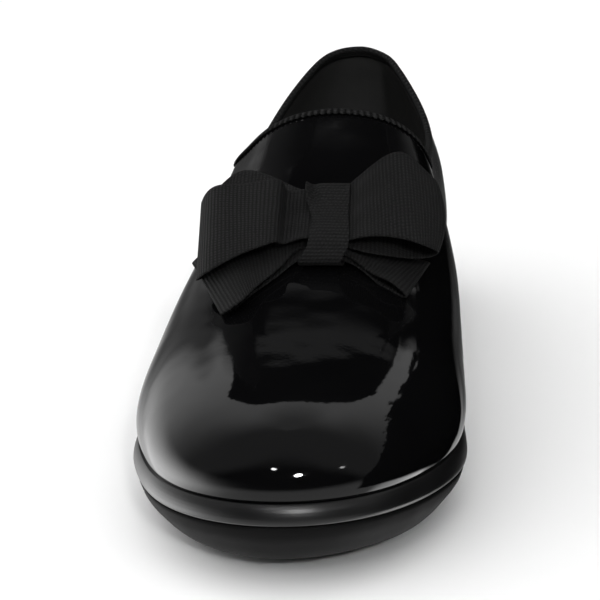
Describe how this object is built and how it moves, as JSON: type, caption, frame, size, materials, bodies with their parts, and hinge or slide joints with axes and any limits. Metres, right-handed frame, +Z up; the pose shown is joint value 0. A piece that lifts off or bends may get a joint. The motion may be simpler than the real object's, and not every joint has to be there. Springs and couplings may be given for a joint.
{
  "type": "loafer",
  "caption": "Right slip-on dress loafer with a hollow patent upper, a ribbon-bound topline, a flat ribbon bow on the vamp and a low-heeled rubber sole.",
  "frame": {"origin": "on the floor, under the centre of the shoe's box, with the shoe standing on its heel and tread", "axes": "+Z up, -Y towards the toe, +Y towards the heel, -X to the outer side of the foot and +X to the inner side"},
  "size_m": [0.0855, 0.2532, 0.0836],
  "materials": {
    "tread_rubber": "matt moulded black rubber",
    "band_rubber": "satin black rubber with a rolled edge",
    "footbed_leather": "dull black footbed and lining",
    "patent_leather": "high-gloss black patent",
    "grosgrain_ribbon": "cross-ribbed black ribbon"
  },
  "bodies": {
    "root": {"outsole": "tread_rubber", "midsole": "band_rubber", "insole": "footbed_leather", "upper": "patent_leather", "topline_binding": "grosgrain_ribbon", "bow_loop_lateral": "grosgrain_ribbon", "bow_loop_medial": "grosgrain_ribbon", "bow_tail_lateral": "grosgrain_ribbon", "bow_tail_medial": "grosgrain_ribbon", "bow_knot": "grosgrain_ribbon"}
  },
  "joints": []
}
